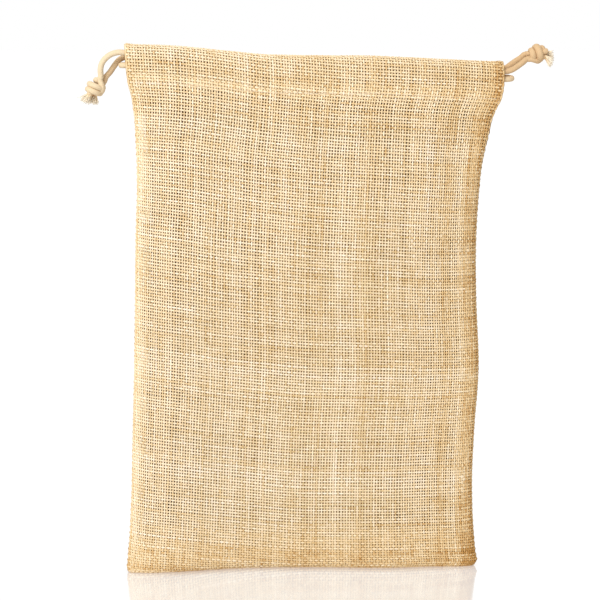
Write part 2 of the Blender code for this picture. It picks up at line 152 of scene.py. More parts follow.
# The weave
WARPS = 137  # yarns across one face
WEFT_PITCH = 0.00214
GRAIN_PITCH = 0.0019  # the warp yarns' pitch, as the grain of the weft yarns takes it
YARN_THICKNESS = 0.00086
YARN_WIDTHS = {
    # face: (warp, weft); the back is woven closer, so that no light comes through the front
    FRONT: (0.00112, 0.00124),
    BACK: (0.00190, 0.00212),
}
SPARE = 0.022  # woven past both ends of the strip, because the weft yarns slope
WARP_GAPS_VARY, WEFT_GAPS_VARY = 0.12, 0.07  # by what share
WARP_STRAYS, WEFT_STRAYS = 0.0005, 0.00007  # as a share of half the width, and in metres
STRAY_REACH = 9  # crossings from one stray to the next
OUTERMOST = 0.9996  # how far across a crossing may lie
ONTO_SKIN = 0.03  # how near the seams, across, the yarns come out to the skin itself
INNER_SHADE_TONE = -0.6  # painted shade: the yarns' inner sides, painted dark brown for the dim inside of the sack
# Where the cloth looks closed, the yarns are wider by a share and the painted shade of their inner
# sides is paler
CLOSER, INNER_LIFT = 0.34, 0.70
FOOT_CLOSES = (0.36, 0.86)  # along the strip, as q
RIGHT_CLOSES, LEFT_CLOSES = (0.86, 0.97), (0.93, 0.99)  # across, from the middle to a seam
HEM_CLOSES = (0.0035, 0.0055)  # above the casing's lower edge: the middle and the spread
CASING_CLOSES = 0.25
CASING_END_TONE, CASING_ENDS = 0.40, (0.90, 0.97)  # the painted shade of the inner sides that show in the slits, paler than elsewhere
SLIT_FADES = 0.02  # over what height below the slits that tone fades out
EDGE_SHADE = {FRONT: 0.16, BACK: 0.48}  # painted shade: how much darker a yarn's two edges, where it turns from the light, are than its crest
MIDDLE_SPREAD = 0.045  # by what share the warp yarns lie wider apart at mid width
SPACED_AT = 0.2  # height of the section round which the warp yarns are spaced evenly
WAVE = 0.00034  # how far a yarn's middle rises and dips from the cloth's middle
EVEN_UP_TO, FLAT_FROM = 0.300, 0.365  # lengths of cloth between which the spacing changes

# How uneven the yarns are: one against the next, along each one and at each crossing
WIDTH_NOISE, WIDTH_REACH, WIDTH_LIMITS = (0.05, 0.05, 0.07), 6, (0.7, 1.5)
YARN_TONE, TONE_NOISE, TONE_REACH = 0.675, (0.05, 0.05, 0.05), 8
# Painted shade, as how much darker: the foot where it curves under, along the drawstrings, by the
# right seam where the cloth turns away, and the right half, further from the key light
FOOT_DARKER, CORDS_DARKER, SEAM_DARKER, RIGHT_DARKER = 0.18, 0.07, 0.14, 0.06
CORDS_AT = (2.55, 0.35)  # along the strip, as q: the middle and the spread
RIGHT_HALF = (-0.3, 0.6)  # across
CLOTH_DRIFT = 0.022  # of the tone, from one group of neighbouring yarns to the next
WARPS_ALIKE, WEFTS_ALIKE = 5, 7  # yarns in such a group

# How far a weft yarn stands above its place at mid width, in mm, at three lengths of cloth
DROP_LENGTHS = (0.12, 0.225, 0.365)
WEFT_DROP = np.array([
    # across, low, half way, at the casing
    (-1.0, 14.6, 11.1, 6.6), (-0.75, 11.5, 8.5, 6.1), (-0.5, 6.9, 5.2, 5.0),
    (-0.25, 2.9, 3.0, 2.8), (0.0, 0.0, 0.0, 0.0), (0.25, -0.2, -1.8, -2.5),
    (0.5, -0.2, -3.0, -3.3), (0.75, -0.8, -4.6, -3.5), (1.0, -2.0, -5.0, -4.4),
])

# Slubs and specks of the front's yarns: X and Z of the middle and the reach along the yarn, all
# in mm, the change of tone, and by what share the yarn swells
MARKS = {
    "weft": [
        (-35.4, 320.3, 1.0, -0.75, 0.20), (50.8, 303.2, 1.3, -0.40, 0.20),
        (-101.0, 40.4, 24.0, 0.10, 0.10), (-114.0, 20.7, 18.0, 0.16, 0.20),
        (-60.0, 7.8, 16.0, 0.16, 0.15), (-92.0, 196.0, 9.0, 0.12, 0.15),
        (26.0, 233.0, 14.0, 0.10, 0.15), (-20.0, 92.0, 11.0, -0.12, 0.10),
        (88.0, 268.0, 8.0, -0.12, 0.10),
    ],
    "warp": [
        (-35.4, 320.3, 0.9, -0.75, 0.20), (50.8, 303.2, 3.0, -0.34, 0.15),
        (74.0, 120.0, 12.0, 0.12, 0.15),
    ],
}

# The wraps of each knot: the helix's own middle and axis, and a row for each of its places: turns
# (0 faces the front), distance along the axis, radius of the turn and of the cord there, in mm
WRAPS = {
    LEFT: ((-147.8, 0.0, 347.4), (-0.50, 0.0, -0.866), [
        # turns, along, turn radius, cord radius
        (-2.0, -4.4, 0.4, 1.8), (-1.75, -4.3, 2.0, 2.0), (-1.5, -3.3, 3.6, 2.0),
        (-1.25, -1.9, 4.5, 2.0), (-1.0, -0.75, 4.75, 2.0), (-0.75, 0.25, 4.75, 2.0),
        (-0.5, 1.25, 4.7, 2.0), (-0.25, 2.25, 4.6, 2.0), (0.0, 3.25, 4.4, 2.0),
        (0.25, 3.9, 4.1, 2.0), (0.5, 4.1, 3.4, 1.9), (0.7, 3.9, 1.6, 1.7),
    ]),
    RIGHT: ((159.9, 0.0, 370.2), (0.998, 0.0, 0.06), [
        (-1.45, -5.4, 1.2, 1.7), (-1.2, -5.4, 2.4, 1.9), (-1.0, -4.7, 3.1, 2.3),
        (-0.75, -3.6, 3.7, 2.3), (-0.5, -2.5, 4.0, 2.3), (-0.25, -1.4, 4.1, 2.45),
        (0.0, -0.1, 4.1, 2.55), (0.25, 1.1, 4.0, 2.4), (0.5, 1.9, 3.9, 2.1),
        (0.68, 2.4, 3.7, 1.9), (0.82, 3.0, 2.9, 1.8), (0.94, 3.3, 1.6, 1.7),
        (1.05, 2.8, 0.4, 1.6),
    ]),
}
# Other strands of each knot: points of the centre line in mm
STRANDS = {
    LEFT: [
        [(-145.2, -2.15, 353.8), (-144.6, -2.3, 351.6), (-143.6, -3.1, 348.9),
         (-143.1, -2.9, 346.4), (-144.1, -1.2, 344.3), (-146.6, 0.4, 343.6)],
        [(-141.2, 2.2, 353.6), (-142.3, 2.2, 351.0), (-143.9, 2.5, 348.4), (-146.6, 1.6, 346.0)],
    ],
    RIGHT: [
        [(151.6, 2.1, 369.2), (153.4, 1.6, 369.8), (155.4, 0.2, 370.4), (158.0, -0.4, 370.4)],
        [(152.2, -2.1, 366.0), (154.8, -2.3, 366.0), (157.6, -1.9, 365.2),
         (159.9, -0.6, 364.8), (161.0, 1.4, 366.4)],
        [(160.4, -0.6, 369.8), (161.6, -2.4, 370.6), (163.2, -3.2, 371.3), (165.0, -3.0, 371.6)],
    ],
}
CORES = {LEFT: (-0.8, 5.0), RIGHT: (-3.4, 4.4)}  # reach along each helix's axis, in mm
CORE_RADIUS = 2.7  # mm
KNOT_STEP, KNOT_SIDES = 0.0008, 20

# Tones of the cotton: of each drawstring from its front end over its loop to its back end
# Painted shade: the left drawstring's back tail, in the shade of its front tail, and the right
# drawstring's tails and knot, further from the key light, are darker
CORD_TONES = {LEFT: (0.56, 0.50, 0.46), RIGHT: (0.33, 0.52, 0.33)}
KNOT_TONES = {LEFT: 0.53, RIGHT: 0.38}
# Painted shade: the knot's core is dark brown, so that the gaps between the wraps look shaded
CORE_SHADE_TONE = 0.1
THREAD_TONE = 0.7

# The frayed fibres of each end: its side, their length, how far along the knot's axis, across it
# and forwards they start, all in mm, and where they point
TUFTS = {
    "left_front": (LEFT, 7.4, (0.2, 2.0, 2.2), (-0.74, -0.20, -0.64)),
    "left_back": (LEFT, 6.4, (0.2, -1.2, -2.0), (-0.16, 0.10, -0.98)),
    "right_front": (RIGHT, 7.6, (-3.4, 3.0, 1.8), (0.30, -0.25, -0.92)),
    "right_back": (RIGHT, 6.6, (-2.4, 1.6, -1.2), (0.86, 0.05, -0.50)),
}
COLLAR_BACK, COLLAR_ON, COLLAR_ASIDE = 0.002, 0.0008, 0.0002  # reach of the last of the cord
COLLAR_RADII = (0.0020, 0.0020, 0.0017)
TUFT_FIBRES = 130
FIBRE = 0.00032  # thickness of one ply fibre of the frayed cotton, drawn coarser than it is
FIBRE_TAPER = (1.2, 1.2, 1.1, 1.1, 1.0, 0.7)
FIBRE_VARIES, FIBRE_LENGTHS = (0.7, 1.4), (0.80, 1.0)  # shares of the thickness and the length
ROOT_ON, ROOT_RADIUS = 0.0002, 0.0016  # where the fibres start: past the cord, and how widely
ALONG_AXIS, SPLAY, LEAN_NOISE, BEND_NOISE = 0.4, 0.5, 0.10, 0.0005
CRIMP, CRIMP_WAVES, CRIMP_PHASES = 0.00022, 9, 6.28  # depth, and the angles that it runs through
FIBRE_TONES = (0.5, 1.0)
ROOT_TONE, TIP_GAIN, GAIN_POWER = 0.30, 0.70, 0.7  # how the tone rises along a fibre: painted shade, darkest at the crowded roots

# Fine things
CORD_STEP = 0.0015  # between the rings of a drawstring
CORD_SIDES = 16
HAIRS = 800  # loose jute fibres on each face
HAIR = 0.00010
HAIR_TAPER = (1.0, 1.0, 0.9, 0.5)
HAIRS_ACROSS = 0.995
HAIRS_FROM, HAIRS_UP_TO = 0.02, 0.80  # along the strip: in metres, and as a share of its length
HAIR_LENGTHS, HAIR_LIFTS = (0.0025, 0.0075), (0.0002, 0.0011)
HAIR_CURLS, HAIR_ARCH = (-0.5, 0.5), 0.8  # shares of its length, and of a half wave
HAIR_TONES = (0.55, 1.0)
SKIN_STEP = 0.002  # across, to find which way the skin runs
SEAM = 0.0016  # thickness of the turned-in edges that close each side
SEAM_INSET = 0.0007
SEAM_PAST_SLIT = 0.0045  # how far it reaches up between the two faces where the slit narrows
SEAM_STEP = 0.002
SEAM_TONES = ([0.45], [0.40])
STITCH = 0.0034  # length of one hem stitch
THREAD = 0.00042
STITCH_HEIGHT = 0.0017  # of the row above the casing's lower edge
STITCHES_ACROSS = 0.985
STITCH_RINGS = 6
STITCH_STANDS, STITCH_DIP, DIP_SPREAD = 0.0001, 0.0009, 0.14  # off the skin, and between stitches

# The studio: the camera's distance, its turn and tilt in degrees, and where it stands
CAMERA_DISTANCE, CAMERA_YAW, CAMERA_PITCH = 1.0, 3.82, 10.6
CAMERA_SHIFT, CAMERA_HEIGHT = -0.0071, 0.3838
LIT_HEIGHT = 0.18  # at which the lights point

# Colours from dark to pale, as sRGB, against the tone
JUTE_TONES = [(0.0, "#84561a"), (0.18, "#a07032"), (0.38, "#c2955a"), (0.58, "#e2c493"),
              (0.78, "#f1dbb7"), (1.0, "#fcecd6")]
COTTON_TONES = [(0.0, "#a0602c"), (0.30, "#c29b6e"), (0.38, "#c6a67e"), (0.50, "#d5b68e"),
                (0.62, "#dcc8a7"), (1.0, "#ecdec6")]
COMBED_TONES = [(0.0, "#b88a56"), (0.40, "#e8d2ac"), (1.0, "#fff8ea")]

UV_EDGE, UV_SPAN = 0.03, 0.94  # the part of its own strip of the UV map that a tube takes
# Rings that round over a tube's ends, against its radius: how far inwards, and how wide
END_RINGS = [(-0.45, 0.42), (-0.32, 0.72), (-0.14, 0.92)]
SMOOTH_SLOPE = 1.5  # of ease at its middle


def ease(value, start, end):
    """0 before start, 1 after end, and a smooth step between them."""
    step = np.clip((value - start) / (end - start), 0.0, 1.0)
    return step * step * (3.0 - 2.0 * step)


def bell(value, middle, spread):
    return np.exp(-(((value - middle) / spread) ** 2))


def through(at, places, values):
    """A smooth curve through the values: cubic pieces whose slopes are central differences."""
    slopes = np.gradient(values, places)
    left = np.clip(np.searchsorted(places, at, side="right") - 1, 0, len(places) - 2)
    span = places[left + 1] - places[left]
    t = np.clip((at - places[left]) / span, 0.0, 1.0)
    return (
        values[left] * (1 + 2 * t) * (1 - t) ** 2
        + slopes[left] * span * t * (1 - t) ** 2
        + values[left + 1] * t * t * (3 - 2 * t)
        + slopes[left + 1] * span * t * t * (t - 1)
    )


def section(height, column):
    return through(height / MM, SECTIONS[:, 0], SECTIONS[:, column]) * MM


def rim_corner(side):
    """X of the casing's end at one side."""
    return section(HEIGHT, 1 if side == LEFT else 2)


def rim_rise(u):
    return through(u, RIM[:, 0], RIM[:, 1]) * MM


def seam_to_seam(u, z):
    left, right = section(z, 1), section(z, 2)
    return left + (right - left) * (u + 1) / 2


def fullness(u):
    """The pouch's depth across its width, as a share of its greatest: (1 - |u|^4)^(2/3)."""
    return (1 - np.abs(u) ** 4) ** (2 / 3)


def mouth_half_gap(u):
    return CORNER_HALF_GAP + (MOUTH_HALF_GAP - CORNER_HALF_GAP) * (1 - u * u)


def middle_surface(u, z):
    return through(u, FOOT_LINE[:, 0], FOOT_LINE[:, 1]) * MM * (1 - ease(z, 0.0, HEIGHT))


def soft_folds(face, u, z):
    rise = 0.0
    for side, across, height, width, tall, lean, out in FOLDS:
        if side == face:
            crest = (height + lean * (u - across)) * MM
            rise = rise + out * MM * bell(u, across, width) * bell(z, crest, tall * MM)
    return rise


def pouch_skin(face, u, z, share):
    """Outer points of one face below the casing: belly depth times fullness, plus the folds."""
    belly = section(z, 3 if face == FRONT else 4)
    depth = (FOOT_HALF_DEPTH + (belly - FOOT_HALF_DEPTH) * share) * fullness(u)
    depth = depth + soft_folds(face, u, z) * share * fullness(u)
    to_casing = np.clip((z - SLIT_BOTTOM) / (HEIGHT - CASING_DEPTH - SLIT_BOTTOM), 0.0, 1.0)
    depth = depth + (casing_depths(face, u, CASING_DEPTH)[0] - depth) * to_casing
    rise = rim_rise(u) * ease(z, RIM_SLOPES_FROM, HEIGHT)
    return np.stack([seam_to_seam(u, z), middle_surface(u, z) + face * depth, z + rise], -1)


def casing_depths(face, u, below_rim):
    """How far the casing's outer and inner skins are from the middle of the mouth."""
    x = seam_to_seam(u, np.full_like(u, HEIGHT - CASING_DEPTH))
    gives_way = BULGE_DEPTH * bell(x, -face * CROSSING_X, BULGE_SPREAD)
    closing = ease(below_rim, CLOSES_FROM, CASING_DEPTH)
    outer = mouth_half_gap(u) + CHANNEL + 2 * CLOTH - STITCHED_IN * closing
    wall = CHANNEL * (1 - closing) + HEM_GAP * closing + 2 * CLOTH
    return outer, outer - wall - gives_way * (1 - closing)


def cloth_skin(face, u, q):
    """Outer points of half the strip of cloth. q runs along it from the middle of the foot:
    -1 to 0 is the flat foot, 0 to 1 the curve up to FOOT_CURVE_HEIGHT, 1 to 2 the face, 2 to 3
    the casing's outer layer, 3 to 4 the fold over the rim, and 4 to 5 the hem inside the mouth.
    """
    angle = np.clip(q, 0, 1) * np.pi / 2
    stitches = HEIGHT - CASING_DEPTH
    z = FOOT_CURVE_HEIGHT * (1 - np.cos(angle))
    z = z + (stitches - FOOT_CURVE_HEIGHT) * np.clip(q - 1, 0, 1)
    pouch = pouch_skin(face, u, z, np.sin(angle))
    centre = middle_surface(u, np.zeros_like(u))
    pouch[..., 1] = centre + (pouch[..., 1] - centre) * np.clip(q + 1, 0, 1)

    turn = np.clip(q - 3, 0, 1) * np.pi
    straight = (CASING_DEPTH - FOLD_RADIUS) * (1 - np.clip(q - 2, 0, 1) + np.clip(q - 4, 0, 1))
    outer, inner = casing_depths(face, u, FOLD_RADIUS + straight)
    depth = (outer + inner) / 2 + np.cos(turn) * (outer - inner) / 2
    z = HEIGHT - (straight + FOLD_RADIUS * (1 - np.sin(turn)))
    casing = np.stack([seam_to_seam(u, z), face * depth, z + rim_rise(u)], -1)
    return np.where(q[..., None] > 2, casing, pouch)


def unit(vectors):
    return vectors / np.maximum(np.linalg.norm(vectors, axis=-1, keepdims=True), 1e-12)


def along_line(points):
    """The length from the first point to each point of a line."""
    return np.concatenate([[0], np.cumsum(np.linalg.norm(np.diff(points, axis=0), axis=1))])


# q against the length of cloth from the middle of the foot, measured at mid width
STRIP_Q = np.linspace(-1, 5, 1200)
STRIP_LENGTHS = along_line(cloth_skin(FRONT, np.zeros_like(STRIP_Q), STRIP_Q))
STRIP = float(STRIP_LENGTHS[-1])


def evenly_round(face, shares):
    """How far across yarns come that lie evenly spaced along the pouch's rounded section."""
    u = np.sin(np.linspace(-np.pi / 2, np.pi / 2, 3001))
    along = along_line(pouch_skin(face, u, np.full_like(u, SPACED_AT), 1.0))
    shares = shares * (1 + MIDDLE_SPREAD * (1 - shares**2))
    return np.interp(shares, along / along[-1] * 2 - 1, u)


def weft_drop(u, r):
    """How far a weft yarn stands above its place at mid width, between three lengths of cloth."""
    low, half_way, casing = (through(u, WEFT_DROP[:, 0], WEFT_DROP[:, k]) * MM for k in (1, 2, 3))
    first = np.clip((r - DROP_LENGTHS[0]) / (DROP_LENGTHS[1] - DROP_LENGTHS[0]), 0, 1)
    second = np.clip((r - DROP_LENGTHS[1]) / (DROP_LENGTHS[2] - DROP_LENGTHS[1]), 0, 1)
    return low + (half_way - low) * first + (casing - half_way) * second


def drift(rng, rows, places, reach):
    """Smooth noise of unit spread along each row: random knots, reach places apart, and eased
    between them."""
    knots = rng.standard_normal((rows, int(places / reach) + 3))
    at = np.arange(places) / reach
    low = at.astype(int)
    t = ease(at - low, 0, 1)
    return knots[:, low] * (1 - t) + knots[:, low + 1] * t


def spun(rng, base, noise, shape, reach):
    """A quality of the yarns, a row for each: it varies from one yarn to the next, slowly along
    each one, and at each crossing."""
    own, slow, quick = noise
    value = base + own * rng.standard_normal((shape[0], 1)) + slow * drift(rng, *shape, reach)
    return value + quick * rng.standard_normal(shape)


def spaced(rng, count, spread):
    """Uneven places from 0 to 1 for count yarns, whose gaps vary by the given spread."""
    gaps = 1 + spread * rng.uniform(-1, 1, count)
    return (np.cumsum(gaps) - gaps / 2) / gaps.sum()


def linear(hex_colour):
    """An sRGB hex colour as the linear RGBA that the shader takes."""
    value = np.array([int(hex_colour[i : i + 2], 16) for i in (1, 3, 5)]) / 255
    value = np.where(value <= 0.04045, value / 12.92, ((value + 0.055) / 1.055) ** 2.4)
    return (*value.tolist(), 1.0)


def add_node(tree, kind, settings=None, links=None, values=None):
    """Adds a node: settings are its properties, links and values go to its inputs by name."""
    node = tree.nodes.new(kind)
    for name, value in (settings or {}).items():
        setattr(node, name, value)
    for name, source in (links or {}).items():
        tree.links.new(source, node.inputs[name])
    for name, value in (values or {}).items():
        node.inputs[name].default_value = value
    return node


def new_material(name):
    made = bpy.data.materials.new(name)
    made.use_nodes = True
    return made, made.node_tree


def colour_ramp(tree, factor, stops):
    ramp = add_node(tree, "ShaderNodeValToRGB", links={"Fac": factor})
    ramp.color_ramp.elements[1].position = 1.0
    for place, _ in stops[1:-1]:
        ramp.color_ramp.elements.new(place)
    for element, (place, colour) in zip(ramp.color_ramp.elements, stops):
        element.position = place
        element.color = linear(colour)
    return ramp.outputs["Color"]


def streaks(tree, across, along):
    """Noise drawn out along the piece: across and along are how often it changes in its UV map."""
    uv = add_node(tree, "ShaderNodeUVMap", {"uv_map": "OFBake"})
    spread = add_node(
        tree, "ShaderNodeMapping", links={"Vector": uv.outputs["UV"]},
        values={"Scale": (across, along, 1.0)},
    )
    noise = add_node(
        tree, "ShaderNodeTexNoise", links={"Vector": spread.outputs["Vector"]},
        values={"Scale": 1.0, "Detail": 3.0, "Roughness": 0.55},
    )
    return noise.outputs["Fac"]


def fibrous(name, stops, grain, grain_depth, bump, roughness):
    """Matt spun fibre: the tone of each point and fine streaks along the yarn run through a
    colour ramp."""
    made, tree = new_material(name)
    shader = tree.nodes["Principled BSDF"]
    noise = streaks(tree, *grain)
    tone = add_node(tree, "ShaderNodeAttribute", {"attribute_name": "tone"})
    shift = add_node(
        tree, "ShaderNodeMath", {"operation": "MULTIPLY_ADD"},
        links={0: noise, 2: tone.outputs["Fac"]}, values={1: grain_depth},
    )
    tree.links.new(colour_ramp(tree, shift.outputs[0], stops), shader.inputs["Base Color"])
    relief = add_node(
        tree, "ShaderNodeBump", links={"Height": noise},
        values={"Strength": 0.5, "Distance": bump},
    )
    tree.links.new(relief.outputs["Normal"], shader.inputs["Normal"])
    shader.inputs["Roughness"].default_value = roughness
    shader.inputs["Specular IOR Level"].default_value = 0.10
    return made


def jute_yarn(name, yarns, length):
    """Natural jute, spun and woven raw: dry and matt, straw coloured, each yarn its own tone.
    Its fibres are drawn about 0.15 mm wide and 4 mm long, coarser than real jute's 0.02 mm."""
    return fibrous(
        name, JUTE_TONES, grain=(yarns * 16.0, length / 0.004), grain_depth=0.32, bump=0.00016,
        roughness=0.9,
    )


def combed_cotton(name, fibres, length):
    """Cotton yarn combed out of the cord: loose white fibre, paler than the waxed cord."""
    return fibrous(
        name, COMBED_TONES, grain=(fibres * 1.0, length / 0.003), grain_depth=0.20, bump=0.00002,
        roughness=0.9,
    )


def cotton_cord(name, strips, length):
    """Waxed, tightly braided cotton cord: smooth and matt cream, with a faint lengthwise grain
    of about 0.5 mm, which is as fine as the render shows."""
    return fibrous(
        name, COTTON_TONES, grain=(strips * 9.0, length / 0.003), grain_depth=0.14, bump=0.00003,
        roughness=0.75,
    )


def make_mesh(name, points, quads, uv, tones):
    """A mesh object from arrays: points, four-cornered faces, the UV of each corner, and the tone
    of each point."""
    mesh = bpy.data.meshes.new(name)
    mesh.vertices.add(len(points))
    mesh.vertices.foreach_set("co", points.astype(np.float32).ravel())
    mesh.loops.add(quads.size)
    mesh.loops.foreach_set("vertex_index", quads.astype(np.int32).ravel())
    mesh.polygons.add(len(quads))
    mesh.polygons.foreach_set("loop_start", np.arange(0, quads.size, 4, dtype=np.int32))
    mesh.update(calc_edges=True)
    layer = mesh.uv_layers.new(name="OFBake")
    layer.data.foreach_set("uv", uv.astype(np.float32).ravel())
    attribute = mesh.attributes.new("tone", "FLOAT", "POINT")
    attribute.data.foreach_set("value", tones.astype(np.float32))
    mesh.shade_smooth()
    obj = bpy.data.objects.new(name, mesh)
    bpy.context.scene.collection.objects.link(obj)
    return obj


def tubes(name, centres, outward, half_width, half_thickness, tone, kept=None, edge_shade=0.0,
          inner_shade_tone=None):
    """Four-sided tubes, one along each row of centres: a ring is the centre plus or minus the
    half width across the yarn and the half thickness outwards. Rings that aren't kept are left
    out, and each run of kept rings is closed at both ends.
    """
    count, rings, _ = centres.shape
    if kept is None:
        kept = np.ones((count, rings), bool)
    way = unit(np.gradient(centres, axis=1))
    across = unit(np.cross(way, outward))
    up = np.cross(across, way)
    across = across * half_width[..., None]
    up = up * half_thickness[..., None]
    points = np.stack([centres + across, centres + up, centres - across, centres - up], 2)
    points[..., 2] = np.maximum(points[..., 2], 0.0)  # the foot's yarns flatten on the floor
    index = np.arange(count * rings * 4).reshape(count, rings, 4)

    both = kept[:, :-1] & kept[:, 1:]
    first, second = index[:, :-1][both], index[:, 1:][both]
    after_first, after_second = np.roll(first, -1, 1), np.roll(second, -1, 1)
    sides = np.stack([first, second, after_second, after_first], -1).reshape(-1, 4)
    yarn, ring = np.nonzero(both)
    edges = (yarn[:, None] + UV_EDGE + UV_SPAN * np.arange(5) / 4) / count
    left, right = edges[:, :-1], edges[:, 1:]
    low, high = (np.broadcast_to((ring[:, None] + k) / rings, left.shape) for k in (0, 1))
    side_uv = np.stack([left, low, left, high, right, high, right, low], -1).reshape(-1, 4, 2)

    none = np.zeros((count, 1), bool)
    starts = np.hstack([both, none]) & ~np.hstack([none, both])
    ends = np.hstack([none, both]) & ~np.hstack([both, none])
    caps = np.vstack([index[starts], index[ends][:, ::-1]])
    cap_yarn, cap_ring = (
        np.concatenate(pair) for pair in zip(np.nonzero(starts), np.nonzero(ends))
    )
    cap_uv = np.stack([(cap_yarn + 0.5) / count, cap_ring / rings], -1)
    cap_uv = np.repeat(cap_uv[:, None], 4, 1)

    used, faces = np.unique(np.vstack([sides, caps]), return_inverse=True)
    tones = np.repeat(tone[..., None], 4, axis=2)
    # Painted shade: the yarn's two edges are darker than its crest
    tones[..., [0, 2]] -= edge_shade
    # Painted shade: the inner side of each yarn is painted dark for the dim inside of the sack
    if inner_shade_tone is not None:
        tones[..., 3] = inner_shade_tone
    return make_mesh(
        name, points.reshape(-1, 3)[used], faces.reshape(-1, 4), np.vstack([side_uv, cap_uv]),
        tones.reshape(-1)[used],
    )


def with_radius(points, radius):
    """Points with the radius of a tube beside each."""
    return np.column_stack([points, np.full(len(points), radius)])


def smooth_line(rows, step):
    """A smooth curve through rows of numbers, whose first three columns are a point: sampled
    every step of its own length, with the other columns carried along."""
    along = along_line(rows[:, :3])
    fine = np.linspace(0, along[-1], 12 * len(rows))
    curve = np.stack([through(fine, along, column) for column in rows.T], -1)
    length = along_line(curve[:, :3])
    places = np.linspace(0, length[-1], max(int(round(length[-1] / step)), 3) + 1)
    return np.stack([np.interp(places, length, column) for column in curve.T], -1)


def round_tubes(name, lines, sides, tones):
    """Round tubes along lines of X, Y, Z and radius, each with tones spread evenly along it. Each
    ring stands square to its line, turned as little as possible from the ring before, and the
    ends are rounded over and closed."""
    made = []
    first = 0
    turn = (np.arange(sides) * 2 * np.pi / sides)[:, None]
    shrink = np.array([share for _, share in END_RINGS])
    extra = len(END_RINGS)
    for strip, (line, tone) in enumerate(zip(lines, tones)):
        path, radius = line[:, :3], line[:, 3]
        way = unit(np.gradient(path, axis=0))
        side = np.empty_like(path)
        start = np.cross(way[0], (0.3, 0.9, 0.2))  # a way that no line starts along
        side[0] = start / np.linalg.norm(start)
        for k in range(1, len(path)):
            turned = side[k - 1] - way[k] * (side[k - 1] @ way[k])
            side[k] = turned / np.linalg.norm(turned)
        other = np.cross(way, side)
        low = [path[0] + way[0] * radius[0] * back for back, _ in END_RINGS]
        high = [path[-1] - way[-1] * radius[-1] * back for back, _ in END_RINGS[::-1]]
        path = np.vstack([low, path, high])
        radius = np.concatenate([radius[0] * shrink, radius, radius[-1] * shrink[::-1]])
        side, other = (np.pad(ways, ((extra, extra), (0, 0)), "edge") for ways in (side, other))
        ring = np.cos(turn) * side[:, None] + np.sin(turn) * other[:, None]
        points = path[:, None] + ring * radius[:, None, None]
        rings = len(path)
        index = first + np.arange(rings * sides).reshape(rings, sides)
        after = np.roll(index, -1, axis=1)
        quads = np.stack([index[:-1], after[:-1], after[1:], index[1:]], -1).reshape(-1, 4)
        u = (strip + UV_EDGE + UV_SPAN * np.arange(sides + 1) / sides) / len(lines)
        v = np.linspace(0, 1, rings)
        corner_u = np.stack([u[:-1], u[1:], u[1:], u[:-1]], -1)
        corner_v = np.stack([v[:-1], v[:-1], v[1:], v[1:]], -1)
        uv = np.stack(np.broadcast_arrays(corner_u[None], corner_v[:, None]), -1)
        # Each end is closed with a fan of four-cornered faces between opposite vertices
        fan = np.arange(1, sides // 2)
        cap = np.stack([fan - 1, sides - fan, sides - fan - 1, fan], -1)
        quads = np.vstack([quads, index[0][cap], index[-1][cap][:, ::-1]])
        cap_uv = np.full((2 * len(fan), 4, 2), ((strip + 0.5) / len(lines), 0.0))
        uv = np.vstack([uv.reshape(-1, 4, 2), cap_uv])
        ring_tones = np.repeat(np.interp(v, np.linspace(0, 1, len(tone)), tone), sides)
        made.append((points.reshape(-1, 3), quads, uv, ring_tones))
        first += rings * sides
    return make_mesh(name, *(np.concatenate(parts) for parts in zip(*made)))


def dress(obj, material, slot, *nodes):
    """Gives a piece its material and its body, and the solids that it stands for. The slot is not
    used.
    """
    obj.data.materials.append(material)
    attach(obj, "root")
    if nodes:
        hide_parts(*nodes)
    return obj


def weave_face(face, seed):
    """The crossings of one half of the strip: where they are, which way is out, which of them are
    on the cloth, and their places along and across it."""
    rng = np.random.default_rng(seed)
    woven = STRIP + 2 * SPARE
    wefts = int(woven / WEFT_PITCH)
    share = spaced(rng, WARPS, WARP_GAPS_VARY) * 2 - 1
    share = share[None, :] + WARP_STRAYS * drift(rng, WARPS, wefts, STRAY_REACH).T
    row = spaced(rng, wefts, WEFT_GAPS_VARY) * woven - SPARE
    row = row[:, None] + WEFT_STRAYS * drift(rng, wefts, WARPS, STRAY_REACH)
    onto_casing = ease(row, EVEN_UP_TO, FLAT_FROM)
    u = evenly_round(face, share) * (1 - onto_casing) + share * onto_casing
    r = row - face * weft_drop(np.clip(u, -1, 1), row)
    inside = (np.abs(share) < 1) & (r > 0) & (r < STRIP)
    u = np.clip(u, -OUTERMOST, OUTERMOST)
    q = np.interp(np.clip(r, 0, STRIP), STRIP_LENGTHS, STRIP_Q)
    skin = cloth_skin(face, u, q)
    warp_way, weft_way = np.gradient(skin, axis=(0, 1))
    outward = unit(np.cross(weft_way, warp_way)) * -face
    # At the side seams the yarns reach the skin itself, because the outward way is sideways
    inset = CLOTH / 2 * (1 - bell(np.abs(u), 1.0, ONTO_SKIN))
    return rng, skin - outward * inset[..., None], outward, inside, q, u


def with_neighbours(inside):
    """Crossings inside the cloth, and the first one beyond it at each end of a yarn."""
    wider = inside.copy()
    wider[:, 1:] |= inside[:, :-1]
    wider[:, :-1] |= inside[:, 1:]
    return wider


def marks_on(kind, centres):
    """The tone and the swelling that slubs and specks give the yarns of one kind: each mark lies
    on the yarn that passes nearest to its middle and fades along it."""
    tone, swell = np.zeros(centres.shape[:2]), np.zeros(centres.shape[:2])
    x, z = centres[..., 0] / MM, centres[..., 2] / MM
    for mark_x, mark_z, reach, mark_tone, mark_swell in MARKS[kind]:
        far = (x - mark_x) ** 2 + (z - mark_z) ** 2
        yarn = np.unravel_index(np.argmin(far), far.shape)[0]
        near = np.exp(-far[yarn] / reach**2)
        tone[yarn] += mark_tone * near
        swell[yarn] += mark_swell * near
    return tone, swell


